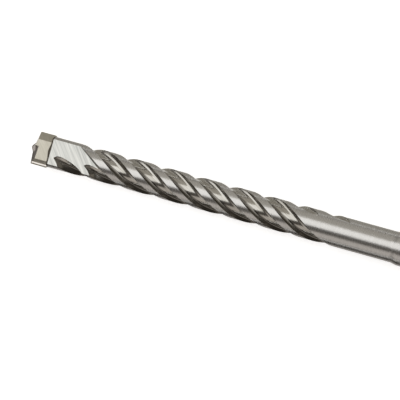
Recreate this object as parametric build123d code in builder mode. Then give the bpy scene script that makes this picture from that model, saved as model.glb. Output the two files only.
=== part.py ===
"""Hammer drill bit with a 10 mm slotted shank, for masonry.

The bit lies along X. The origin is the centre of the striking face at the rear of the shank, the
tip points to -X, and a broad face of the carbide looks up (+Z). Stations are distances back from
the tip. Lengths are in millimetres and angles in degrees. Angles round the bit are measured from
+Y towards +Z, which is also the way that the flutes turn from the tip to the shank.
"""

from build123d import *
import os
from math import asin, cos, degrees, radians, sin, sqrt, tan

os.makedirs("parts", exist_ok=True)

# Whole bit
overall_length = 160.0

# Shank that the chuck holds
shank_diameter = 10.0
shank_length = 44.0
rear_chamfer = 0.9
flare_length = 2.4

# Two open grooves that turn the bit
drive_groove_length = 28.0
drive_groove_width = 3.9
drive_groove_floor = 3.75
drive_groove_corner = 0.6
drive_groove_cutter_radius = 12.0

# Two closed grooves that the locking balls ride in
lock_ball_radius = 3.45
lock_ball_start = 11.3
lock_ball_travel = 14.4
lock_groove_floor = 3.55

# Neck and flutes
neck_diameter = 9.3
core_radius = 3.43
flute_lead = 43.0
land_angle = 30.0
near_wall_lean = 16.0
near_wall_corner = 0.36
far_wall_lean = 9.0
far_wall_corner = 0.45
main_flute_start = 6.9
main_flute_end = 90.3
flute_stagger = 9.5
flute_run_in = 5.0
flute_run_out = 8.0
flute_end_angle = 13.0
flute_end_narrowing = 0.85
edge_on_top_station = 21.7

# Two flats that carry the broad faces of the carbide on to the first flutes
flat_height = 2.7
flat_end_station = 20.2
flat_end_angle = 35.0

# Carbide head
carbide_width = 9.9
carbide_length = 6.0
carbide_end_thickness = 2.2
trailing_face_width = 2.65
leading_face_width = 3.1
point_height = 0.95
point_half_width = 1.4
point_half_thickness = 0.95
edge_fall = 11.0
edge_skew = 13.0
relief_angle = 22.0
rake_angle = 41.0

# Brazed seam, and the shallow notch for it in the back of the carbide
seam_thickness = 0.4
notch_depth = 0.38
notch_width = 4.4

# Worked out from the sizes above
flute_count = 4
shank_radius = shank_diameter / 2
neck_radius = neck_diameter / 2
carbide_radius = carbide_width / 2
flute_pitch_angle = 360 / flute_count
flute_angle = flute_pitch_angle - land_angle
flute_depth = neck_radius - core_radius
outside_radius = neck_radius + 1.2
tip_x = -overall_length
carbide_rear_x = tip_x + carbide_length
steel_front_x = carbide_rear_x + seam_thickness
shank_front_x = -shank_length
flare_front_x = shank_front_x - flare_length
point_base_x = tip_x + 2 * point_height
ridge_drop = tan(radians(edge_fall)) / cos(radians(edge_skew))
ridge_x = tip_x + point_height - point_half_width * ridge_drop
notch_x = carbide_rear_x - notch_depth

# How far a cutter passes the surface that it opens, how far a flute turns between sections, and how
# far past its visible end a flute cutter goes, as a share of the run-out
clear = 0.6
section_turn = 30.0
last_share = 1.06


def across(x):
    """Plane across the bit at x, whose own axes are +Y and +Z."""
    return Plane(origin=(x, 0, 0), x_dir=(0, 1, 0), z_dir=(1, 0, 0))


def polar(radius, angle):
    """Point in a plane across the bit."""
    return Vector(radius * cos(radians(angle)), radius * sin(radians(angle)))


def edge_angle_at(station):
    """Angle of the first side flute's near edge at a station."""
    return 90 + 360 * (station - edge_on_top_station) / flute_lead


def wall_turn(radius, lean):
    """Angle from a flute's edge to the point of its leaning wall at a radius."""
    return degrees(asin(neck_radius * sin(radians(lean)) / radius)) - lean


def passed_share(station, start, end):
    """Share of a flute's run-in or run-out that lies between a station and the full section."""
    into_start = (start + flute_run_in - station) / flute_run_in
    past_end = (station - end + flute_run_out) / flute_run_out
    return max(into_start, past_end, 0)


def flute_stations(start, end):
    """Stations of a flute's sections, closer together where the floor rises."""
    step = flute_lead * section_turn / 360
    first = start + flute_run_in * (1 - last_share)
    last = end - flute_run_out * (1 - last_share)
    marks = (first, start + flute_run_in, end - flute_run_out, last)
    places = [first]
    for begin, finish, share in zip(marks, marks[1:], (0.3, 1.0, 0.3)):
        count = max(2, round((finish - begin) / (step * share)))
        places += [begin + (finish - begin) * i / count for i in range(1, count + 1)]
    return places


# Steel body, turned from one bar before it is grooved
with BuildPart() as steel_body:
    with BuildSketch(Plane.XY):
        with BuildLine():
            Line((steel_front_x, 0), (steel_front_x, neck_radius))
            Line((steel_front_x, neck_radius), (flare_front_x, neck_radius))
            Spline(
                (flare_front_x, neck_radius),
                (shank_front_x, shank_radius),
                tangents=((1, 0), (1, 0)),
            )
            Polyline(
                (shank_front_x, shank_radius),
                (-rear_chamfer, shank_radius),
                (0, shank_radius - rear_chamfer),
                (0, 0),
                (steel_front_x, 0),
            )
        make_face()
    revolve(axis=Axis.X)

# Flute cutters, lofted along the helix: a near wall, a round floor and a far wall, with cut corners
near_corner_turn = degrees(near_wall_corner / core_radius)
far_corner_turn = degrees(far_wall_corner / core_radius)
near_foot = wall_turn(core_radius, near_wall_lean)
far_foot = flute_angle - wall_turn(core_radius, far_wall_lean)
near_break_radius = core_radius + near_wall_corner
far_break_radius = core_radius + far_wall_corner
flute_profile = (
    (outside_radius, wall_turn(outside_radius, near_wall_lean)),
    (near_break_radius, wall_turn(near_break_radius, near_wall_lean)),
    (core_radius, near_foot + near_corner_turn),
    (core_radius, (near_foot + far_foot) / 2),
    (core_radius, far_foot - far_corner_turn),
    (far_break_radius, flute_angle - wall_turn(far_break_radius, far_wall_lean)),
    (outside_radius, flute_angle - wall_turn(outside_radius, far_wall_lean)),
    (outside_radius, flute_angle / 2),
)

flute_cutters = []
for pair, delay in ((1, 0.0), (0, flute_stagger)):
    flute_start = main_flute_start + delay
    flute_end = main_flute_end + delay
    with BuildPart() as flute_cutter:
        for station in flute_stations(flute_start, flute_end):
            turn = edge_angle_at(station) + pair * flute_pitch_angle
            passed = passed_share(station, flute_start, flute_end)
            rise = flute_depth * passed ** 2
            width_share = 1 - flute_end_narrowing * passed ** 1.5
            points = []
            for radius, angle in flute_profile:
                height_share = (outside_radius - radius) / (outside_radius - core_radius)
                narrowed = flute_end_angle + (angle - flute_end_angle) * width_share
                points.append(polar(radius + rise * height_share, turn + narrowed))
            wall_out, wall_low, floor_start, floor_middle, floor_end, far_low, far_out, outside = points
            with BuildSketch(across(tip_x + station)):
                with BuildLine():
                    Polyline(wall_out, wall_low, floor_start)
                    ThreePointArc(floor_start, floor_middle, floor_end)
                    Polyline(floor_end, far_low, far_out)
                    ThreePointArc(far_out, outside, wall_out)
                make_face()
        loft()
    flute_cutters.append(flute_cutter.part)

with steel_body:
    for cutter in flute_cutters:
        add(cutter, mode=Mode.SUBTRACT)
        add(cutter.rotate(Axis.X, 180), mode=Mode.SUBTRACT)

# Flats on both sides of the head, which end in a slanting step along the first flute's wall
with BuildPart() as flat_cutter:
    flat_reach = neck_radius + clear
    flat_slant = flat_reach / tan(radians(flat_end_angle))
    flat_end_x = tip_x + flat_end_station
    with BuildSketch(Plane.XY.offset(flat_height)):
        Polygon(
            (steel_front_x - clear, flat_reach),
            (steel_front_x - clear, -flat_reach),
            (flat_end_x + flat_slant, -flat_reach),
            (flat_end_x - flat_slant, flat_reach),
            align=None,
        )
    extrude(amount=neck_radius)

with steel_body:
    add(flat_cutter.part, mode=Mode.SUBTRACT)
    add(flat_cutter.part.rotate(Axis.X, 180), mode=Mode.SUBTRACT)

# Open drive grooves, whose floor runs out along the arc of a disc cutter
with BuildPart() as drive_cutter:
    drive_cut_rise = shank_radius + clear - drive_groove_floor
    drive_cut_run = sqrt(2 * drive_groove_cutter_radius * drive_cut_rise - drive_cut_rise ** 2)
    drive_full_x = drive_cut_run - drive_groove_length
    with BuildSketch(across(drive_full_x)) as drive_section:
        Polygon(
            (drive_groove_floor, -drive_groove_width / 2),
            (shank_radius + clear, -drive_groove_width / 2),
            (shank_radius + clear, drive_groove_width / 2),
            (drive_groove_floor, drive_groove_width / 2),
            align=None,
        )
        fillet(drive_section.vertices().group_by(Axis.X)[0], drive_groove_corner)
    extrude(amount=clear - drive_full_x)
    drive_disc = Axis((drive_full_x, drive_groove_floor + drive_groove_cutter_radius, 0), (0, 0, 1))
    revolve(drive_section.sketch, axis=drive_disc, revolution_arc=-60)

# Closed lock grooves, each the path of a ball along the shank
with BuildPart() as lock_cutter:
    lock_ball_height = lock_groove_floor + lock_ball_radius
    lock_ball_end = lock_ball_start + lock_ball_travel
    with Locations((-(lock_ball_start + lock_ball_end) / 2, 0, lock_ball_height)):
        Cylinder(lock_ball_radius, lock_ball_travel, rotation=(0, 90, 0))
    with Locations((-lock_ball_start, 0, lock_ball_height), (-lock_ball_end, 0, lock_ball_height)):
        Sphere(lock_ball_radius)

with steel_body:
    for cutter in (drive_cutter.part, lock_cutter.part):
        add(cutter, mode=Mode.SUBTRACT)
        add(cutter.rotate(Axis.X, 180), mode=Mode.SUBTRACT)

steel_body.part.label = "steel_body"
export_step(steel_body.part, "parts/steel_body.step")

# Carbide head: a plate with bevelled sides
with BuildPart() as carbide_head:
    with BuildSketch(across(tip_x)):
        Polygon(
            (trailing_face_width, flat_height),
            (-leading_face_width, flat_height),
            (-carbide_radius, carbide_end_thickness / 2),
            (-carbide_radius, -carbide_end_thickness / 2),
            (-trailing_face_width, -flat_height),
            (leading_face_width, -flat_height),
            (carbide_radius, -carbide_end_thickness / 2),
            (carbide_radius, carbide_end_thickness / 2),
            align=None,
        )
    extrude(amount=carbide_length)

# Roof that stands off one cutting edge, with the relief behind the edge and the rake before it
with BuildPart() as edge_cutter:
    ridge_plane = Plane(
        origin=(ridge_x, 0, 0),
        x_dir=(0, sin(radians(edge_skew)), cos(radians(edge_skew))),
        z_dir=(0, cos(radians(edge_skew)), -sin(radians(edge_skew))),
    )
    ridge_way = Vector(ridge_plane.z_dir) + Vector(tan(radians(edge_fall)), 0, 0)
    with BuildSketch(ridge_plane):
        Polygon(
            (0, 0),
            (carbide_width, carbide_width * tan(radians(relief_angle))),
            (carbide_width, -carbide_length),
            (-carbide_width, -carbide_length),
            (-carbide_width, carbide_width * tan(radians(rake_angle))),
            align=None,
        )
    extrude(amount=carbide_width, dir=ridge_way)

# Centring point, a four-sided pyramid that stands on the ridge
with BuildPart() as centring_point:
    with BuildSketch(across(point_base_x)) as point_base:
        Polygon(
            (2 * point_half_width, 0),
            (0, 2 * point_half_thickness),
            (-2 * point_half_width, 0),
            (0, -2 * point_half_thickness),
            align=None,
            rotation=-edge_skew,
        )
    loft(sections=[point_base.sketch, Vertex(tip_x, 0, 0)])

# Notch across the back of the carbide
with BuildPart() as notch_cutter:
    with BuildSketch(Plane.XY):
        Polygon(
            (notch_x, 0),
            (carbide_rear_x, notch_width / 2),
            (carbide_rear_x, -notch_width / 2),
            align=None,
        )
    extrude(amount=flat_height, both=True)

with carbide_head:
    add(edge_cutter.part, mode=Mode.SUBTRACT)
    add(edge_cutter.part.rotate(Axis.X, 180), mode=Mode.SUBTRACT)
    add(centring_point.part)
    add(notch_cutter.part, mode=Mode.SUBTRACT)

carbide_head.part.label = "carbide_head"
export_step(carbide_head.part, "parts/carbide_head.step")

# Brazing metal between the carbide and the steel, which also fills the notch
with BuildPart() as braze_seam:
    with BuildSketch(across(carbide_rear_x)):
        Circle(neck_radius)
        Rectangle(neck_diameter, 2 * flat_height, mode=Mode.INTERSECT)
    extrude(amount=seam_thickness)
    add(notch_cutter.part)

braze_seam.part.label = "braze_seam"
export_step(braze_seam.part, "parts/braze_seam.step")
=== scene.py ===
"""Looks of a hammer drill bit with a carbide head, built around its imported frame.

The steel body is turned, fluted and grooved here as one fine mesh, and the carbide head and its
brazed seam are made here too, with softened edges. Sizes are written in millimetres and turned
into metres where a mesh is made. Angles are in degrees, and those about the bit run from +Y
towards +Z. A station is a distance back from the tip.
"""

import logging
import math
from dataclasses import dataclass
from enum import Enum

import bmesh
import bpy
from mathutils import Matrix, Vector

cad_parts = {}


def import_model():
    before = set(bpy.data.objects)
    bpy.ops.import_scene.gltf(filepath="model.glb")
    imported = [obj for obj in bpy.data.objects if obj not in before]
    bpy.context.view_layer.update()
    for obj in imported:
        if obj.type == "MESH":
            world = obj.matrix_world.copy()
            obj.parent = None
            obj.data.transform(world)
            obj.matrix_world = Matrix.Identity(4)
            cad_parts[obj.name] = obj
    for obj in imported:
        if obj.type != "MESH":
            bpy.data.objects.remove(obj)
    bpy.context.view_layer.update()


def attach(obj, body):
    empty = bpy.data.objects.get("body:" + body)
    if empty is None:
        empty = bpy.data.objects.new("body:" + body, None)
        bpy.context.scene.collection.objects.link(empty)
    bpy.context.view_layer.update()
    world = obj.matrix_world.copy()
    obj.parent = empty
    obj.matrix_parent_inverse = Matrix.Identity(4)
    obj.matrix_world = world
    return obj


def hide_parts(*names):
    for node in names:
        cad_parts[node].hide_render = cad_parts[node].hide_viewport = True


log = logging.getLogger("drill_bit")

MM = 0.001
WELD = 1e-4
BODY = "root"
HALF_TURNS = (0.0, 180.0)
WHITE = (1.0, 1.0, 1.0)

Color = tuple[float, float, float]
Inputs = dict[str | int, bpy.types.NodeSocket | float | tuple | list]


class Grain(Enum):
    """Way in which fine marks run, as shares of the grain's scale along X, Y and Z."""

    ROUND = (1.0, 0.02, 0.02)
    ALONG = (0.02, 1.0, 1.0)
    HELIX = (0.04, 1.0, 1.0)
    SLANT = (1.0, 0.03, 0.03)


def polar(radius: float, angle: float) -> Vector:
    """Point across the bit.

    Args:
        radius: Distance from the axis.
        angle: Angle about the bit.

    Returns:
        A vector with no length along the bit.
    """
    turn = math.radians(angle)
    return Vector((0.0, radius * math.cos(turn), radius * math.sin(turn)))


def eased(share: float) -> float:
    """Turns an even rise from 0 to 1 into one that starts and ends softly."""
    return share ** 2 * (3 - 2 * share)


@dataclass
class Bit:
    """Sizes that the whole bit shares. Starts, ends and edge_on_top are stations."""

    length: float = 160.0
    neck_radius: float = 4.65
    shank_radius: float = 5.0
    shank_length: float = 43.6
    flare_length: float = 2.4
    rear_chamfer: float = 0.9
    steel_front: float = 6.85
    head_core: float = 2.8
    rear_core: float = 3.43
    head_taper_start: float = 19.5
    head_taper_end: float = 45.5
    flute_lead: float = 43.0
    land_angle: float = 30.0
    edge_on_top: float = 22.15
    flat_height: float = 2.7

    def x_at(self, station: float) -> float:
        """Place of a station along X, in millimetres."""
        return station - self.length

    def edge_angle(self, station: float) -> float:
        """Angle about the bit at which a flute's near edge, on top at edge_on_top, lies."""
        return 90.0 + 360.0 * (station - self.edge_on_top) / self.flute_lead

    def head_share(self, station: float) -> float:
        """How far a flute is deeper than at the rear, from 1 at the head down to 0."""
        share = (self.head_taper_end - station) / (self.head_taper_end - self.head_taper_start)
        return min(max(share, 0.0), 1.0) ** 2


class Nodes:
    """Nodes of one material, each joined up as it is added."""

    def __init__(self, material: bpy.types.Material) -> None:
        """Takes up the material's node tree and its shader.

        Args:
            material: The material.
        """
        material.use_nodes = True
        self.tree = material.node_tree
        self.shader = self.tree.nodes["Principled BSDF"]

    def put(self, node: bpy.types.Node, values: Inputs) -> None:
        """Fills inputs of a node.

        Args:
            node: The node.
            values: Socket to join or value to write, by the input's name or number.
        """
        for key, value in values.items():
            if isinstance(value, bpy.types.NodeSocket):
                self.tree.links.new(value, node.inputs[key])
            else:
                node.inputs[key].default_value = value

    def add(self, kind: str, values: Inputs, output: str) -> bpy.types.NodeSocket:
        """Adds a node.

        Args:
            kind: Blender's name of its type.
            values: Its inputs, as put takes them.
            output: Name of the output to hand back.

        Returns:
            That output.
        """
        node = self.tree.nodes.new(kind)
        self.put(node, values)
        return node.outputs[output]

    def calc(self, operation: str, first: bpy.types.NodeSocket,
             second: bpy.types.NodeSocket | float = 0.0) -> bpy.types.NodeSocket:
        """Adds a math node.

        Args:
            operation: Blender's name of the operation.
            first: Socket of the first value.
            second: Socket or number of the second value, where the operation takes two.

        Returns:
            The result.
        """
        node = self.tree.nodes.new("ShaderNodeMath")
        node.operation = operation
        self.put(node, {0: first, 1: second})
        return node.outputs[0]

    def ramp(self, value: bpy.types.NodeSocket, start: float, end: float, low: float = 0.0,
             high: float = 1.0, smooth: bool = False) -> bpy.types.NodeSocket:
        """Maps a range of a value to another range.

        Args:
            value: The value.
            start: Value that gives the lowest result.
            end: Value that gives the highest result.
            low: Lowest result.
            high: Highest result.
            smooth: Whether the result leaves both ends softly.

        Returns:
            The result.
        """
        node = self.tree.nodes.new("ShaderNodeMapRange")
        if smooth:
            node.interpolation_type = "SMOOTHSTEP"
        self.put(node, {"Value": value, "From Min": start, "From Max": end, "To Min": low, "To Max": high})
        return node.outputs["Result"]

    def noise(self, place: bpy.types.NodeSocket, scale: float, detail: float) -> bpy.types.NodeSocket:
        """Adds noise, from 0 to 1."""
        return self.add("ShaderNodeTexNoise", {"Vector": place, "Scale": scale, "Detail": detail}, "Fac")

    def mix(self, share: bpy.types.NodeSocket, first: bpy.types.NodeSocket | tuple,
            second: tuple) -> bpy.types.NodeSocket:
        """Mixes a share of the second colour into the first."""
        return self.add("ShaderNodeMixRGB", {"Fac": share, "Color1": first, "Color2": second}, "Color")

    def split(self, vector: bpy.types.NodeSocket) -> list[bpy.types.NodeSocket]:
        """Splits a vector into X, Y and Z.

        Args:
            vector: The vector.

        Returns:
            Its three parts.
        """
        node = self.tree.nodes.new("ShaderNodeSeparateXYZ")
        self.put(node, {"Vector": vector})
        return [node.outputs[axis] for axis in "XYZ"]


@dataclass(frozen=True)
class Metal:
    """A bare metal finish with fine marks of its making.

    The marks are noise drawn out along the grain, or at the angle slant where they cross a flat.
    They give the height and the roughness, and as much of the colour as streaks says; soft clouds
    give the rest. A band of painted shade, standing in for the shade deep in the flutes, darkens
    each flute's far wall; it lies a set angle past the flute's near edge, where a wave about the
    bit is near its top.
    """

    name: str
    color: Color
    shade: Color
    roughness: float
    roughness_swing: float
    grain: Grain
    grain_scale: float
    grain_depth: float
    grain_detail: float = 3.0
    slant: float = -38.0
    streaks: float = 0.5
    streak_start: float = 0.35
    streak_end: float = 0.65
    cloud_scale: float = 420.0
    cloud_detail: float = 4.0
    painted_shade: float = 0.0
    painted_shade_color: Color = (0.035, 0.027, 0.018)
    painted_shade_place: float = 55.907
    painted_shade_start: float = 0.5
    painted_shade_end: float = 0.9
    flutes: int = 4
    lead: float = Bit.flute_lead
    rear_edge: float = Bit().edge_angle(Bit.length)

    def material(self) -> bpy.types.Material:
        """Builds the finish as a node material.

        Returns:
            A material that reads Object coordinates.
        """
        made = bpy.data.materials.new(self.name)
        nodes = Nodes(made)
        place = nodes.add("ShaderNodeTexCoord", {}, "Object")
        marks = self._marks(nodes, place)
        rough = nodes.ramp(marks, 0.0, 1.0, self.roughness - self.roughness_swing,
                           self.roughness + self.roughness_swing)
        bump = nodes.add("ShaderNodeBump", {"Height": marks, "Distance": self.grain_depth * MM,
                                            "Strength": 1.0}, "Normal")
        nodes.put(nodes.shader, {"Metallic": 1.0, "Roughness": rough, "Normal": bump,
                                 "Base Color": self._color(nodes, place, marks)})
        return made

    def _marks(self, nodes: Nodes, place: bpy.types.NodeSocket) -> bpy.types.NodeSocket:
        """Adds noise drawn out along the grain.

        Args:
            nodes: Nodes of the material.
            place: Object coordinates.

        Returns:
            The height of the marks, from 0 to 1.
        """
        source = place
        if self.grain is Grain.HELIX:
            source = self._unwound(nodes, place)
        if self.grain is Grain.SLANT:
            turn = (0.0, 0.0, math.radians(self.slant))
            source = nodes.add("ShaderNodeMapping", {"Vector": place, "Rotation": turn}, "Vector")
        scale = [self.grain_scale * share for share in self.grain.value]
        stretched = nodes.add("ShaderNodeMapping", {"Vector": source, "Scale": scale}, "Vector")
        return nodes.noise(stretched, 1.0, self.grain_detail)

    def _color(self, nodes: Nodes, place: bpy.types.NodeSocket,
               marks: bpy.types.NodeSocket) -> bpy.types.NodeSocket:
        """Mixes the two colours and the painted shade on the flutes' far walls.

        Args:
            nodes: Nodes of the material.
            place: Object coordinates.
            marks: Height of the marks.

        Returns:
            The colour.
        """
        streaks = nodes.ramp(marks, self.streak_start, self.streak_end)
        clouds = nodes.noise(place, self.cloud_scale, self.cloud_detail)
        share = nodes.calc("ADD", nodes.calc("MULTIPLY", streaks, self.streaks),
                           nodes.calc("MULTIPLY", clouds, 1 - self.streaks))
        color = nodes.mix(share, (*self.color, 1.0), (*self.shade, 1.0))
        if self.painted_shade > 0:
            color = nodes.mix(self._painted_shade(nodes, place, marks), color, (*self.painted_shade_color, 1.0))
        return color

    def _painted_shade(self, nodes: Nodes, place: bpy.types.NodeSocket,
                 marks: bpy.types.NodeSocket) -> bpy.types.NodeSocket:
        """Finds the painted shade on each flute's far wall, a dark band that stands in for the shade deep in
        the flute.

        Args:
            nodes: Nodes of the material.
            place: Object coordinates.
            marks: Height of the marks, which break the painted shade up.

        Returns:
            The painted shade's share, from 0 to its full strength.
        """
        crest = math.radians(self.flutes * (self.rear_edge + self.painted_shade_place) % 360.0)
        turns = nodes.calc("MULTIPLY", self._loose_angle(nodes, place), float(self.flutes))
        wave = nodes.calc("COSINE", nodes.calc("SUBTRACT", turns, crest))
        band = nodes.ramp(wave, self.painted_shade_start, self.painted_shade_end, smooth=True)
        broken = nodes.calc("MULTIPLY", band, nodes.calc("ADD", marks, self.painted_shade))
        return nodes.calc("MINIMUM", broken, self.painted_shade)

    def _loose_angle(self, nodes: Nodes, place: bpy.types.NodeSocket) -> bpy.types.NodeSocket:
        """Takes the helix's turn off the angle about the bit, so that it is the same along a flute.

        Args:
            nodes: Nodes of the material.
            place: Object coordinates.

        Returns:
            The angle in radians.
        """
        x, y, z = nodes.split(place)
        wound = nodes.calc("MULTIPLY", x, 2 * math.pi / (self.lead * MM))
        return nodes.calc("SUBTRACT", nodes.calc("ARCTAN2", z, y), wound)

    def _unwound(self, nodes: Nodes, place: bpy.types.NodeSocket) -> bpy.types.NodeSocket:
        """Unwinds the helix, so that the marks can run along the flutes.

        Args:
            nodes: Nodes of the material.
            place: Object coordinates.

        Returns:
            The place along and across the unwound bit.
        """
        x, y, z = nodes.split(place)
        loose = self._loose_angle(nodes, place)
        squares = nodes.calc("ADD", nodes.calc("MULTIPLY", y, y), nodes.calc("MULTIPLY", z, z))
        out = nodes.calc("SQRT", squares)
        beside = nodes.calc("MULTIPLY", out, nodes.calc("SINE", loose))
        above = nodes.calc("MULTIPLY", out, nodes.calc("COSINE", loose))
        return nodes.add("ShaderNodeCombineXYZ", {"X": x, "Y": beside, "Z": above}, "Vector")


TURNED = Metal("turned_steel", color=(0.52, 0.515, 0.5), shade=(0.45, 0.44, 0.42), roughness=0.28,
               roughness_swing=0.05, grain=Grain.ROUND, grain_scale=9000.0, grain_depth=0.0012)
# Fluted steel: the band darkened on each flute's far wall is painted shade. The darker shade colour in its
# streaks is partly painted shade for the deep flutes and partly streaky tone.
FLUTED = Metal("fluted_steel", color=(0.51, 0.5, 0.47), shade=(0.33, 0.31, 0.27), roughness=0.22,
               roughness_swing=0.07, grain=Grain.HELIX, grain_scale=2800.0, grain_depth=0.0036,
               streaks=0.7, painted_shade=0.62)
FLAT = Metal("ground_flat", color=(0.6, 0.6, 0.565), shade=(0.41, 0.415, 0.395), roughness=0.34,
             roughness_swing=0.08, grain=Grain.SLANT, grain_scale=2400.0, grain_depth=0.006, streaks=0.85)
SINTERED = Metal("sintered_carbide", color=(0.56, 0.535, 0.46), shade=(0.44, 0.415, 0.345), roughness=0.42,
                 roughness_swing=0.05, grain=Grain.SLANT, grain_scale=7000.0, grain_depth=0.002)
# Ground carbide is smoother than sintered carbide, and its lighter colour is partly a painted highlight.
GROUND_AND_PAINTED_HIGHLIGHT = Metal("ground_carbide_and_painted_highlight", color=(0.7, 0.66, 0.62), shade=(0.6, 0.56, 0.52), roughness=0.3,
               roughness_swing=0.05, grain=Grain.SLANT, grain_scale=7000.0, grain_depth=0.002)
# Raked carbide is ground carbide darkened: painted shade on the rake faces before the cutting edges.
RAKED_PAINTED_SHADE = Metal("raked_carbide_painted_shade", color=(0.33, 0.305, 0.28), shade=(0.25, 0.23, 0.21), roughness=0.3,
              roughness_swing=0.05, grain=Grain.SLANT, grain_scale=7000.0, grain_depth=0.002)
BRAZED = Metal("brazing_metal", color=(0.1, 0.09, 0.07), shade=(0.06, 0.05, 0.04), roughness=0.5,
               roughness_swing=0.08, grain=Grain.ALONG, grain_scale=3000.0, grain_depth=0.01)

BODY_FINISHES = (TURNED, FLUTED, FLAT)
# The head's materials hold a painted highlight and painted shade beside the real sintered finish.
HEAD_FINISHES_AND_PAINTED_LIGHT = (SINTERED, GROUND_AND_PAINTED_HIGHLIGHT, RAKED_PAINTED_SHADE)


def link(name: str, bm: bmesh.types.BMesh) -> bpy.types.Object:
    """Turns a bmesh in millimetres into a scene object in metres.

    Args:
        name: Name of the new object.
        bm: Mesh to take; it is freed.

    Returns:
        The new object at the origin.
    """
    bmesh.ops.scale(bm, vec=(MM, MM, MM), verts=bm.verts)
    mesh = bpy.data.meshes.new(name)
    bm.to_mesh(mesh)
    bm.free()
    made = bpy.data.objects.new(name, mesh)
    bpy.context.scene.collection.objects.link(made)
    return made


def chain(bm: bmesh.types.BMesh, points: list[Vector], closed: bool) -> list:
    """Adds a chain of edges through points.

    Args:
        bm: Mesh to add to.
        points: Places of the chain's vertices.
        closed: Whether the last point joins the first.

    Returns:
        The new vertices and edges.
    """
    verts = [bm.verts.new(p) for p in points]
    pairs = list(zip(verts, verts[1:]))
    if closed:
        pairs.append((verts[-1], verts[0]))
    return verts + [bm.edges.new(pair) for pair in pairs]


def prism(bm: bmesh.types.BMesh, base: list[Vector], shift: Vector) -> list[bmesh.types.BMVert]:
    """Adds a prism.

    Args:
        bm: Mesh to add to.
        base: Corners of one end.
        shift: Way from that end to the other.

    Returns:
        The vertices of the other end.
    """
    face = bm.faces.new([bm.verts.new(p) for p in base])
    grown = bmesh.ops.extrude_face_region(bm, geom=[face], use_keep_orig=True)
    moved = [part for part in grown["geom"] if isinstance(part, bmesh.types.BMVert)]
    bmesh.ops.translate(bm, verts=moved, vec=shift)
    bmesh.ops.recalc_face_normals(bm, faces=bm.faces)
    return moved


def turn_about(bm: bmesh.types.BMesh, turn: float) -> None:
    """Turns a mesh about the bit."""
    matrix = Matrix.Rotation(math.radians(turn), 3, "X")
    bmesh.ops.rotate(bm, verts=bm.verts, cent=(0, 0, 0), matrix=matrix)


def carve(target: bpy.types.Object, cutters: list[bpy.types.Object], added: bpy.types.Object | None = None,
          transfer: bool = False) -> None:
    """Cuts an object and may join another one to it. What it used is deleted.

    Args:
        target: Object that gets the finished mesh.
        cutters: Closed objects to cut away.
        added: Closed object to join on after the cuts.
        transfer: Whether the cut faces take the cutters' materials.
    """
    group = bpy.data.collections.new("cutters")
    bpy.context.scene.collection.children.link(group)
    for cutter in cutters:
        bpy.context.scene.collection.objects.unlink(cutter)
        group.objects.link(cutter)
    cut = target.modifiers.new("cut", "BOOLEAN")
    cut.operation = "DIFFERENCE"
    cut.operand_type = "COLLECTION"
    cut.collection = group
    cut.solver = "EXACT"
    if transfer:
        cut.material_mode = "TRANSFER"
    used = list(cutters)
    if added:
        join = target.modifiers.new("join", "BOOLEAN")
        join.operation = "UNION"
        join.object = added
        join.solver = "EXACT"
        used.append(added)
    depsgraph = bpy.context.evaluated_depsgraph_get()
    mesh = bpy.data.meshes.new_from_object(target.evaluated_get(depsgraph))
    target.modifiers.clear()
    target.data = mesh
    for tool in used:
        bpy.data.objects.remove(tool)
    bpy.data.collections.remove(group)


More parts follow.
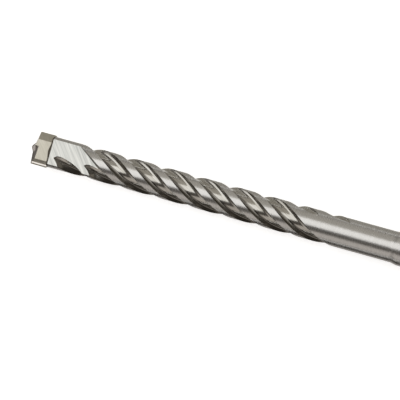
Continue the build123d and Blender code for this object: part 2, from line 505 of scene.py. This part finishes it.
@dataclass
class FluteProfile:
    """Section of a flute across the bit: near wall, round floor and far wall, with soft corners.

    Outside the bit, the section reaches past both edges and is closed by a low arch.
    """

    bit: Bit
    near_lean: float = 16.0
    near_corner: float = 0.72
    far_lean: float = 9.0
    far_corner: float = 0.45
    edge_break: float = 0.07
    outside: float = 1.2
    near_reach: float = 4.0
    far_reach: float = 5.0
    arch: float = 0.4
    arch_steps: int = 5
    wall_steps: int = 4
    corner_steps: int = 6
    floor_steps: int = 10

    def wall_turn(self, radius: float, lean: float) -> float:
        """Angle from a flute's edge to the point of its leaning wall at a radius."""
        edge = self.bit.neck_radius * math.sin(math.radians(lean))
        return math.degrees(math.asin(edge / radius)) - lean

    def ring(self, core: float) -> list[tuple[float, float]]:
        """Section of a flute whose near edge is at angle 0.

        Args:
            core: Radius of the flute's floor.

        Returns:
            Radius and angle of each point of the section's closed outline.
        """
        neck = self.bit.neck_radius
        rim = neck - self.edge_break
        outer = neck + self.outside
        width = 90.0 - self.bit.land_angle
        near_foot = self.wall_turn(core, self.near_lean)
        far_foot = width - self.wall_turn(core, self.far_lean)
        near = [(rim, self.wall_turn(rim, self.near_lean))]
        for i in range(1, self.wall_steps + 1):
            radius = neck - (neck - core - self.near_corner) * i / self.wall_steps
            near.append((radius, self.wall_turn(radius, self.near_lean)))
        floor_start = near_foot + math.degrees(self.near_corner / core)
        floor_end = far_foot - math.degrees(self.far_corner / core)
        floor = [(core, floor_start + (floor_end - floor_start) * i / self.floor_steps)
                 for i in range(1, self.floor_steps)]
        far_low = core + self.far_corner
        far = []
        for i in range(self.wall_steps):
            radius = far_low + (neck - far_low) * i / self.wall_steps
            far.append((radius, width - self.wall_turn(radius, self.far_lean)))
        far.append((rim, width - self.wall_turn(rim, self.far_lean)))
        near_bend = self._corner(near[-1], (core, near_foot), (core, floor_start))
        far_bend = self._corner((core, floor_end), (core, far_foot), far[0])
        spread = math.degrees(self.edge_break / neck)
        ring = [(outer, -self.near_reach), (neck + self.edge_break, -spread)] + near + near_bend + floor
        ring += far_bend + far + [(neck + self.edge_break, width + spread), (outer, width + self.far_reach)]
        ring += [(outer + self.arch, width * i / self.arch_steps) for i in range(self.arch_steps - 1, 0, -1)]
        return ring

    def _corner(self, start: tuple[float, float], tip: tuple[float, float],
                end: tuple[float, float]) -> list[tuple[float, float]]:
        """Rounds a corner.

        Args:
            start: Radius and angle of the place where the bend starts.
            tip: The same of the sharp corner.
            end: The same of the place where the bend ends.

        Returns:
            The bend's points after its start.
        """
        places = []
        for i in range(1, self.corner_steps + 1):
            t = i / self.corner_steps
            weights = ((1 - t) ** 2, 2 * t * (1 - t), t ** 2)
            places.append(tuple(sum(w * p[k] for w, p in zip(weights, (start, tip, end))) for k in (0, 1)))
        return places


@dataclass(frozen=True)
class Flute:
    """One flute: where it lies, its start and end stations, and how its cutter goes in.

    A higher plunge power keeps it deep for longer, and opening is how much wider it is at its start.
    """

    turn: float
    start: float
    end: float
    run_in: float
    plunge: int
    opening: float


@dataclass
class SteelBody:
    """Steel body of the bit: turned bar, flutes, head flats and shank grooves.

    A flute narrows towards run_in_angle at its front and run_out_angle at its rear, both from its
    near edge, and its opening widens what lies past opening_start.
    """

    bit: Bit
    profile: FluteProfile
    side_flute: Flute = Flute(turn=90.0, start=7.0, end=90.75, run_in=3.4, plunge=4, opening=6.5)
    top_flute: Flute = Flute(turn=0.0, start=16.6, end=100.35, run_in=5.0, plunge=8, opening=13.0)
    run_out: float = 8.0
    run_out_plunge: int = 2
    run_out_narrowing: float = 1.5
    run_in_angle: float = 50.0
    run_out_angle: float = 13.0
    end_narrowing: float = 0.85
    last_share: float = 1.06
    opening_reach: float = 6.0
    opening_start: float = 20.0
    opening_span: float = 25.0
    flat_end: float = 20.65
    flat_end_angle: float = 35.0
    flat_end_lean: float = 0.76
    drive_length: float = 28.0
    drive_width: float = 3.9
    drive_floor: float = 3.75
    drive_corner: float = 0.6
    drive_corner_steps: int = 6
    drive_disc: float = 12.0
    drive_sweep: float = 60.0
    drive_steps: int = 40
    ball_radius: float = 3.45
    ball_start: float = 11.3
    ball_travel: float = 14.4
    ball_floor: float = 3.55
    ball_rings: int = 16
    ball_steps: int = 64
    ring_pitch: float = 1.0
    flare_steps: int = 8
    segments: int = 160
    flute_pitch: float = 0.45
    clear: float = 0.6
    sharp_angle: float = 24.0

    def build(self) -> bpy.types.Object:
        """Makes the body and cuts it.

        Returns:
            The finished object.
        """
        body = self._bar()
        for finish in BODY_FINISHES:
            body.data.materials.append(finish.material())
        cutters = []
        for half in HALF_TURNS:
            for cutter, finish in ((self._flute(self.side_flute, half), FLUTED),
                                   (self._flute(self.top_flute, half), FLUTED),
                                   (self._flat(half), FLAT),
                                   (self._drive_groove(half), TURNED),
                                   (self._lock_groove(half), TURNED)):
                cutter.data.materials.append(body.data.materials[BODY_FINISHES.index(finish)])
                cutters.append(cutter)
        carve(body, cutters, transfer=True)
        body.data.set_sharp_from_angle(angle=math.radians(self.sharp_angle))
        for face in body.data.polygons:
            face.use_smooth = BODY_FINISHES[face.material_index] is not FLAT
        return body

    def _bar(self) -> bpy.types.Object:
        """Turns the bar, in rings as close as its cuts need.

        Returns:
            The bar before it is cut.
        """
        bit = self.bit
        shank_front = bit.length - bit.shank_length
        flare_front = shank_front - bit.flare_length
        outline = [Vector((bit.x_at(bit.steel_front), 0, 0))]
        station = bit.steel_front
        while station < flare_front:
            outline.append(Vector((bit.x_at(station), bit.neck_radius, 0)))
            station += self.ring_pitch
        for i in range(self.flare_steps + 1):
            share = i / self.flare_steps
            radius = bit.neck_radius + (bit.shank_radius - bit.neck_radius) * eased(share)
            outline.append(Vector((bit.x_at(flare_front + bit.flare_length * share), radius, 0)))
        station = shank_front + self.ring_pitch
        while station < bit.length - bit.rear_chamfer:
            outline.append(Vector((bit.x_at(station), bit.shank_radius, 0)))
            station += self.ring_pitch
        outline.append(Vector((-bit.rear_chamfer, bit.shank_radius, 0)))
        outline.append(Vector((0, bit.shank_radius - bit.rear_chamfer, 0)))
        outline.append(Vector((0, 0, 0)))
        bm = bmesh.new()
        geom = chain(bm, outline, closed=False)
        bmesh.ops.spin(bm, geom=geom, cent=(0, 0, 0), axis=(1, 0, 0), angle=2 * math.pi,
                       steps=self.segments, use_merge=True)
        bmesh.ops.remove_doubles(bm, verts=bm.verts, dist=WELD)
        bmesh.ops.recalc_face_normals(bm, faces=bm.faces)
        return link("steel_bit_body", bm)

    def _flute(self, flute: Flute, half: float) -> bpy.types.Object:
        """Carries a flute's section along the helix and runs it out at both ends.

        Args:
            flute: The flute.
            half: Turn that brings it to this side of the bit.

        Returns:
            The flute's cutter.
        """
        bit = self.bit
        first = flute.start + flute.run_in * (1 - self.last_share)
        last = flute.end - self.run_out * (1 - self.last_share)
        steps = round((last - first) / self.flute_pitch)
        bm = bmesh.new()
        rings = []
        for i in range(steps + 1):
            station = first + (last - first) * i / steps
            centre = Vector((bit.x_at(station), 0, 0))
            edge = bit.edge_angle(station) + flute.turn + half
            rings.append([bm.verts.new(centre + polar(radius, edge + angle))
                          for radius, angle in self._section(flute, station)])
        for front, back in zip(rings, rings[1:]):
            for i, vert in enumerate(front):
                bm.faces.new((vert, front[i - 1], back[i - 1], back[i]))
        return self._closed("flute_cutter", bm)

    def _section(self, flute: Flute, station: float) -> list[tuple[float, float]]:
        """Section of a flute at a station, raised and narrowed near the flute's ends.

        Args:
            flute: The flute.
            station: Distance back from the tip.

        Returns:
            Radius and angle from the near edge of each point.
        """
        share = self.bit.head_share(station)
        core = self.bit.rear_core + (self.bit.head_core - self.bit.rear_core) * share
        ahead = max((flute.start + flute.run_in - station) / flute.run_in, 0.0)
        past = max((station - flute.end + self.run_out) / self.run_out, 0.0)
        rise = (self.bit.neck_radius - core) * (ahead ** flute.plunge + past ** self.run_out_plunge)
        width = 1 - self.end_narrowing * (ahead + past ** self.run_out_narrowing)
        middle = self.run_in_angle if ahead > 0 else self.run_out_angle
        outer = self.bit.neck_radius + self.profile.outside
        reach = (station - flute.start - flute.run_in) / self.opening_reach
        opening = flute.opening * min(max(1 - reach, 0.0), 1.0)
        places = []
        for radius, angle in self.profile.ring(core):
            side = min(max((angle - self.opening_start) / self.opening_span, 0.0), 1.0)
            angle = middle + (angle - middle) * width + opening * eased(side)
            places.append((radius + rise * max(outer - radius, 0.0) / (outer - core), angle))
        return places

    def _flat(self, turn: float) -> bpy.types.Object:
        """Makes the cutter of one head flat, whose slanting end wall leans towards the shank.

        Args:
            turn: Turn about the bit from the top.

        Returns:
            The cutter.
        """
        bit = self.bit
        reach = bit.neck_radius + self.clear
        slant = reach / math.tan(math.radians(self.flat_end_angle))
        front = bit.x_at(bit.steel_front) - self.clear
        end = bit.x_at(self.flat_end)
        bm = bmesh.new()
        base = [Vector((x, y, bit.flat_height)) for x, y in
                ((front, reach), (front, -reach), (end + slant, -reach), (end - slant, reach))]
        upper = prism(bm, base, Vector((0, 0, bit.neck_radius)))
        rear = [vert for vert in upper if vert.co.x > front + self.clear]
        bmesh.ops.translate(bm, verts=rear, vec=(self.flat_end_lean * bit.neck_radius, 0, 0))
        return self._closed("flat_cutter", bm, turn)

    def _drive_groove(self, turn: float) -> bpy.types.Object:
        """Makes the cutter of one open groove, whose floor runs out along the arc of a disc.

        Args:
            turn: Turn about the bit from +Y.

        Returns:
            The cutter.
        """
        floor = self.drive_floor
        half = self.drive_width / 2
        outer = self.bit.shank_radius + self.clear
        rise = outer - floor
        run = math.sqrt(2 * self.drive_disc * rise - rise ** 2)
        full_x = run - self.drive_length
        ring = [Vector((full_x, outer, -half)), Vector((full_x, outer, half))]
        for side in (1, -1):
            arc = []
            for i in range(self.drive_corner_steps + 1):
                bend = math.radians(90.0 * i / self.drive_corner_steps)
                arc.append(Vector((full_x, floor + self.drive_corner * (1 - math.sin(bend)),
                                   side * (half - self.drive_corner * (1 - math.cos(bend))))))
            ring += arc if side == 1 else arc[::-1]
        bm = bmesh.new()
        geom = chain(bm, ring, closed=True)
        edges = [g for g in geom if isinstance(g, bmesh.types.BMEdge)]
        grown = bmesh.ops.extrude_edge_only(bm, edges=edges)
        rear = [v for v in grown["geom"] if isinstance(v, bmesh.types.BMVert)]
        bmesh.ops.translate(bm, verts=rear, vec=(self.clear - full_x, 0, 0))
        bmesh.ops.spin(bm, geom=geom, cent=(full_x, floor + self.drive_disc, 0), axis=(0, 0, 1),
                       angle=-math.radians(self.drive_sweep), steps=self.drive_steps)
        return self._closed("drive_cutter", bm, turn)

    def _lock_groove(self, turn: float) -> bpy.types.Object:
        """Makes the cutter of one closed groove, the path of a ball along the shank.

        Args:
            turn: Turn about the bit from the top.

        Returns:
            The cutter.
        """
        outline = []
        for i in range(self.ball_rings + 1):
            bend = math.radians(90.0 * i / self.ball_rings)
            outline.append((self.ball_radius * math.cos(bend), self.ball_radius * math.sin(bend)))
        front = -self.ball_start - self.ball_travel
        points = [Vector((front - x, y, 0)) for x, y in outline]
        points += [Vector((-self.ball_start + x, y, 0)) for x, y in outline[::-1]]
        bm = bmesh.new()
        geom = chain(bm, points, closed=False)
        bmesh.ops.spin(bm, geom=geom, cent=(0, 0, 0), axis=(1, 0, 0), angle=2 * math.pi,
                       steps=self.ball_steps, use_merge=True)
        bmesh.ops.remove_doubles(bm, verts=bm.verts, dist=WELD)
        bmesh.ops.translate(bm, verts=bm.verts, vec=(0, 0, self.ball_floor + self.ball_radius))
        return self._closed("lock_cutter", bm, turn)

    @staticmethod
    def _closed(name: str, bm: bmesh.types.BMesh, turn: float = 0.0) -> bpy.types.Object:
        """Caps a cutter's open ends, turns it about the bit and links it.

        Args:
            name: Name of the cutter.
            bm: Its mesh; it is freed.
            turn: Turn about the bit.

        Returns:
            The cutter.
        """
        bmesh.ops.holes_fill(bm, edges=[e for e in bm.edges if e.is_boundary], sides=0)
        turn_about(bm, turn)
        bmesh.ops.recalc_face_normals(bm, faces=bm.faces)
        return link(name, bm)


@dataclass
class CarbideHead:
    """Carbide plate with a roof of two cutting edges, a centring point and a notch at the back.

    Each long edge has a wall down to a ledge, and a slope from the ledge to half_end. The levels
    and the lean are shares of a face's normal that tell the ledges, rakes and roof apart, and so
    where the painted highlight and the painted shade go.
    """

    bit: Bit
    length: float = 6.45
    half_width: float = 5.0
    half_end: float = 1.05
    trailing_face: float = 2.65
    leading_face: float = 3.2
    wall_foot: float = 4.15
    ledge_end: float = 4.65
    ledge_height: float = 1.45
    point_height: float = 0.9
    point_half_width: float = 1.5
    point_half_thickness: float = 0.95
    point_reach: float = 1.3
    fall: float = 8.0
    skew: float = 13.0
    relief: float = 22.0
    rake: float = 39.0
    notch_depth: float = 0.38
    notch_width: float = 4.4
    edge_break: float = 0.07
    clear: float = 0.5
    notch_past: float = 0.01
    merge: float = 0.002
    flat_limit: float = 1.0
    sharp_limit: float = 12.0
    small_face: float = 0.1
    ledge_level: float = 0.99
    roof_lean: float = 0.3
    raked_level: float = 0.5
    seam_inset: float = 0.02
    seam_drop: float = 0.03
    seam_steps: int = 12

    def build(self) -> bpy.types.Object:
        """Makes the head.

        Returns:
            The finished object.
        """
        tip = -self.bit.length
        plate = self._plate(tip)
        cutters = [self._roof_cutter(tip, half) for half in HALF_TURNS] + [self._notch_cutter(tip)]
        carve(plate, cutters, added=self._point(tip))
        self._soften(plate)
        for finish in HEAD_FINISHES_AND_PAINTED_LIGHT:
            plate.data.materials.append(finish.material())
        for face in plate.data.polygons:
            face.use_smooth = face.area < self.small_face * MM ** 2
            face.material_index = HEAD_FINISHES_AND_PAINTED_LIGHT.index(self._finish_and_painted_light_of(face))
        return plate

    def _plate(self, tip: float) -> bpy.types.Object:
        """Makes the plate before its roof is ground.

        Args:
            tip: X of the bit's tip.

        Returns:
            The plate.
        """
        height = self.bit.flat_height
        half = [(self.trailing_face, height), (-self.leading_face, height),
                (-self.wall_foot, self.ledge_height), (-self.ledge_end, self.ledge_height),
                (-self.half_width, self.half_end)]
        outline = half + [(-y, -z) for y, z in half]
        bm = bmesh.new()
        prism(bm, [Vector((tip, y, z)) for y, z in outline], Vector((self.length, 0, 0)))
        return link("carbide_bit_head", bm)

    def _roof_cutter(self, tip: float, turn: float) -> bpy.types.Object:
        """Makes the cutter of one half of the roof, with the relief behind its edge and the rake before it.

        Args:
            tip: X of the bit's tip.
            turn: Turn about the bit.

        Returns:
            The cutter.
        """
        skew = math.radians(self.skew)
        fall = math.tan(math.radians(self.fall))
        top = tip + self.point_height - self.point_half_width * fall / math.cos(skew)
        reach = 2 * self.half_width
        shape = [(0, 0), (reach, reach * math.tan(math.radians(self.relief))), (reach, -self.length),
                 (-reach, -self.length), (-reach, reach * math.tan(math.radians(self.rake)))]
        base = [Vector((top + v, u * math.sin(skew), u * math.cos(skew))) for u, v in shape]
        bm = bmesh.new()
        prism(bm, base, Vector((fall, math.cos(skew), -math.sin(skew))) * reach)
        turn_about(bm, turn)
        return link("roof_cutter", bm)

    def _notch(self, bm: bmesh.types.BMesh, back: float, mouth: float, height: float) -> None:
        """Adds a wedge that fills the notch in the plate's back.

        Args:
            bm: Mesh to add to.
            back: X of the plate's back.
            mouth: X of the wedge's wide end.
            height: How far it reaches up and down.
        """
        half = self.notch_width / 2
        prism(bm, [Vector((back - self.notch_depth, 0, -height)), Vector((mouth, half, -height)),
                   Vector((mouth, -half, -height))], Vector((0, 0, 2 * height)))

    def _notch_cutter(self, tip: float) -> bpy.types.Object:
        """Makes the cutter of the notch.

        Args:
            tip: X of the bit's tip.

        Returns:
            The cutter.
        """
        back = tip + self.length
        bm = bmesh.new()
        self._notch(bm, back, back + self.notch_past, self.bit.flat_height + self.clear)
        return link("notch_cutter", bm)

    def _point(self, tip: float) -> bpy.types.Object:
        """Makes the centring point, a four-sided pyramid whose lower half is sunk in the ridge.

        Args:
            tip: X of the bit's tip.

        Returns:
            The point.
        """
        bm = bmesh.new()
        base = []
        for radius, angle in ((self.point_half_width, 0.0), (self.point_half_thickness, 90.0),
                              (self.point_half_width, 180.0), (self.point_half_thickness, 270.0)):
            corner = polar(2 * radius, angle - self.skew) + Vector((tip + 2 * self.point_height, 0, 0))
            base.append(bm.verts.new(corner))
        top = bm.verts.new((tip, 0, 0))
        bm.faces.new(base)
        for i, vert in enumerate(base):
            bm.faces.new((base[i - 1], vert, top))
        bmesh.ops.recalc_face_normals(bm, faces=bm.faces)
        return link("point", bm)

    def _soften(self, plate: bpy.types.Object) -> None:
        """Merges the cut mesh's flat faces and breaks its sharp edges.

        Args:
            plate: The cut plate.
        """
        bm = bmesh.new()
        bm.from_mesh(plate.data)
        bmesh.ops.remove_doubles(bm, verts=bm.verts, dist=self.merge * MM)
        bmesh.ops.dissolve_limit(bm, angle_limit=math.radians(self.flat_limit), verts=bm.verts,
                                 edges=bm.edges)
        limit = math.radians(self.sharp_limit)
        sharp = [e for e in bm.edges if len(e.link_faces) == 2 and e.calc_face_angle(0.0) > limit]
        bmesh.ops.bevel(bm, geom=sharp, offset=self.edge_break * MM, segments=2, profile=0.5, affect="EDGES",
                        clamp_overlap=True, material=-1)
        bm.to_mesh(plate.data)
        bm.free()

    def _finish_and_painted_light_of(self, face: bpy.types.MeshPolygon) -> Metal:
        """Picks the finish of a face, or its painted highlight or painted shade, by where it lies and which
        way it looks.

        Args:
            face: Face of the finished plate.

        Returns:
            Ground, lighter as a painted highlight, on the ledges and the roof; raked, darkened as painted
            shade, before the cutting edges; and sintered elsewhere.
        """
        place = face.center / MM
        between = (self.ledge_height + self.bit.flat_height) / 2
        ledge = abs(face.normal.z) > self.ledge_level and abs(place.z) < between
        roof = abs(face.normal.x) > self.roof_lean and place.x < self.length - self.bit.length - self.clear
        # Rake faces take painted shade; ledges and roof take a lighter colour that is partly a painted
        # highlight.
        if roof and abs(place.y) >= self.point_reach and abs(face.normal.z) > self.raked_level:
            return RAKED_PAINTED_SHADE
        return GROUND_AND_PAINTED_HIGHLIGHT if ledge or roof else SINTERED

    def seam(self) -> bpy.types.Object:
        """Makes the brazing metal between the carbide and the steel, which also fills the notch.

        Returns:
            The finished object.
        """
        neck = self.bit.neck_radius - self.seam_inset
        height = self.bit.flat_height - self.seam_drop
        corner = math.degrees(math.asin(height / neck))
        ring = [polar(neck, corner * (i / self.seam_steps * 2 - 1)) for i in range(self.seam_steps + 1)]
        ring += [Vector((0, -p.y, -p.z)) for p in ring]
        back = -self.bit.length + self.length
        bm = bmesh.new()
        thickness = self.bit.steel_front - self.length
        prism(bm, [p + Vector((back, 0, 0)) for p in ring], Vector((thickness, 0, 0)))
        self._notch(bm, back, back, height)
        line = link("braze_line", bm)
        line.data.materials.append(BRAZED.material())
        return line


def glowing(name: str, base: float, glow: Color, strength: float = 1.0,
            roughness: float = 0.5) -> bpy.types.Material:
    """Makes a matt paint that also glows.

    Args:
        name: Name of the material.
        base: Grey of the paint.
        glow: Colour that it shines with.
        strength: Strength of that glow.
        roughness: Roughness of the paint.

    Returns:
        The material.
    """
    made = bpy.data.materials.new(name)
    nodes = Nodes(made)
    nodes.put(nodes.shader, {"Base Color": (base, base, base, 1.0), "Roughness": roughness,
                             "Specular IOR Level": 0.0, "Emission Color": (*glow, 1.0),
                             "Emission Strength": strength})
    return made


@dataclass(frozen=True)
class Softbox:
    """Soft light that faces the bit.

    Its angle about the bit counts from the camera's side, positive towards +Y, and span is the
    angle that it covers. A radiance of 1 is white, and lean is towards the shank.
    """

    name: str
    angle: float
    span: float
    radiance: float
    tint: Color = WHITE
    along: float = 1200.0
    lean: float = 15.0
    distance: float = 700.0

    def place(self, target: Vector) -> None:
        """Adds the light to the scene.

        Args:
            target: Place that it faces.
        """
        width = 2 * self.distance * math.tan(math.radians(self.span / 2))
        data = bpy.data.lights.new(self.name, "AREA")
        data.shape = "RECTANGLE"
        data.size = self.along * MM
        data.size_y = width * MM
        data.energy = self.radiance * math.pi * (self.along * MM) * (width * MM)
        data.color = self.tint
        tilt = math.radians(self.lean)
        turn = math.radians(self.angle)
        towards = Vector((math.sin(tilt), 0.0, math.cos(tilt)))
        out = towards * math.cos(turn) + Vector((0.0, 1.0, 0.0)) * math.sin(turn)
        side = Vector((math.cos(tilt), 0.0, -math.sin(tilt)))
        matrix = Matrix((side, out.cross(side), out)).transposed().to_4x4()
        matrix.translation = (target + out * self.distance) * MM
        lamp = bpy.data.objects.new(self.name, data)
        lamp.matrix_world = matrix
        lamp.visible_camera = False
        bpy.context.scene.collection.objects.link(lamp)


@dataclass(frozen=True)
class Card:
    """Glowing card that lies beside the bit from near to far in Y. Only reflections show it."""

    name: str
    near: float
    far: float
    glow: Color
    ends: tuple[float, float] = (-420.0, 220.0)
    base: float = 0.05

    def lay(self, level: float) -> None:
        """Adds the card to the scene.

        Args:
            level: Height at which it lies.
        """
        start, end = self.ends
        bm = bmesh.new()
        corners = [(start, self.near), (end, self.near), (end, self.far), (start, self.far)]
        bm.faces.new([bm.verts.new((x, y, level)) for x, y in corners])
        board = link(self.name, bm)
        board.data.materials.append(glowing(self.name, self.base, self.glow))
        board.visible_camera = False
        board.visible_shadow = False
        board.visible_diffuse = False


@dataclass
class Studio:
    """Camera, floor, cards and soft lights."""

    tilt: float = 15.0
    roll: float = 15.55
    frame_width: float = 117.3
    distance: float = 2200.0
    target: tuple[float, float, float] = (-106.0, -1.96, 0.0)
    floor_level: float = -5.0
    floor_size: float = 8000.0
    floor_base: float = 0.9
    floor_glow: float = 0.62
    floor_roughness: float = 0.9
    card_lift: float = 0.1
    world_color: Color = (0.09, 0.08, 0.07)
    softboxes: tuple[Softbox, ...] = (
        Softbox("key", angle=9.5, span=43.0, radiance=1.5, along=1500.0, lean=-28.0),
        Softbox("upper_side", angle=58.0, span=54.0, radiance=0.48, tint=(1.0, 0.96, 0.88)),
        Softbox("lower_side", angle=-68.0, span=38.0, radiance=0.68, tint=(1.0, 0.94, 0.9)),
    )
    cards: tuple[Card, ...] = (
        Card("upper_card", near=7.0, far=60.0, glow=(0.4, 0.38, 0.34)),
        Card("lower_card", near=-13.0, far=-6.5, glow=(0.44, 0.41, 0.39)),
        Card("lower_dark_card", near=-60.0, far=-13.0, glow=(0.03, 0.025, 0.02)),
        Card("front_card", near=-7.0, far=7.0, glow=(0.06, 0.05, 0.045), ends=(-176.0, -164.0)),
    )

    def build(self) -> None:
        """Makes the floor, the world, the lights, the cards and the camera."""
        self._floor()
        world = bpy.data.worlds.new("studio")
        bpy.context.scene.world = world
        world.use_nodes = True
        world.node_tree.nodes["Background"].inputs["Color"].default_value = (*self.world_color, 1.0)
        for softbox in self.softboxes:
            softbox.place(Vector(self.target))
        for card in self.cards:
            card.lay(self.floor_level + self.card_lift)
        self._camera()

    def _floor(self) -> None:
        """Makes the pale floor on which the bit lies."""
        bm = bmesh.new()
        bmesh.ops.create_grid(bm, x_segments=1, y_segments=1, size=self.floor_size)
        bmesh.ops.translate(bm, verts=bm.verts, vec=(0, 0, self.floor_level))
        floor = link("floor", bm)
        floor.data.materials.append(glowing("floor", self.floor_base, WHITE, self.floor_glow,
                                            self.floor_roughness))

    def _camera(self) -> None:
        """Sets the camera at the photograph's viewing angle."""
        tilt = math.radians(self.tilt)
        roll = math.radians(self.roll)
        towards = Vector((math.sin(tilt), 0.0, math.cos(tilt)))
        along = Vector((math.cos(tilt), 0.0, -math.sin(tilt)))
        up = Vector((0.0, 1.0, 0.0))
        right = along * math.cos(roll) + up * math.sin(roll)
        upward = up * math.cos(roll) - along * math.sin(roll)
        matrix = Matrix((right, upward, towards)).transposed().to_4x4()
        matrix.translation = (Vector(self.target) + towards * self.distance) * MM
        data = bpy.data.cameras.new("camera")
        data.lens = data.sensor_width * self.distance / self.frame_width
        camera = bpy.data.objects.new("camera", data)
        camera.matrix_world = matrix
        bpy.context.scene.collection.objects.link(camera)
        bpy.context.scene.camera = camera


def main() -> None:
    """Builds the pieces in order and reports each one's face count."""
    logging.basicConfig(level=logging.INFO, format="%(message)s")
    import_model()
    bpy.context.scene.view_settings.view_transform = "Standard"
    bit = Bit()
    body = SteelBody(bit, FluteProfile(bit)).build()
    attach(body, BODY)
    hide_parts("steel_body")
    log.info("%s: %d faces", body.name, len(body.data.polygons))
    head = CarbideHead(bit)
    for piece, node, slot in ((head.build(), "carbide_head", "carbide"), (head.seam(), "braze_seam", "braze")):
        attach(piece, BODY)
        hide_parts(node)
        log.info("%s: %d faces", piece.name, len(piece.data.polygons))
    Studio().build()


if __name__ == "__main__":
    main()
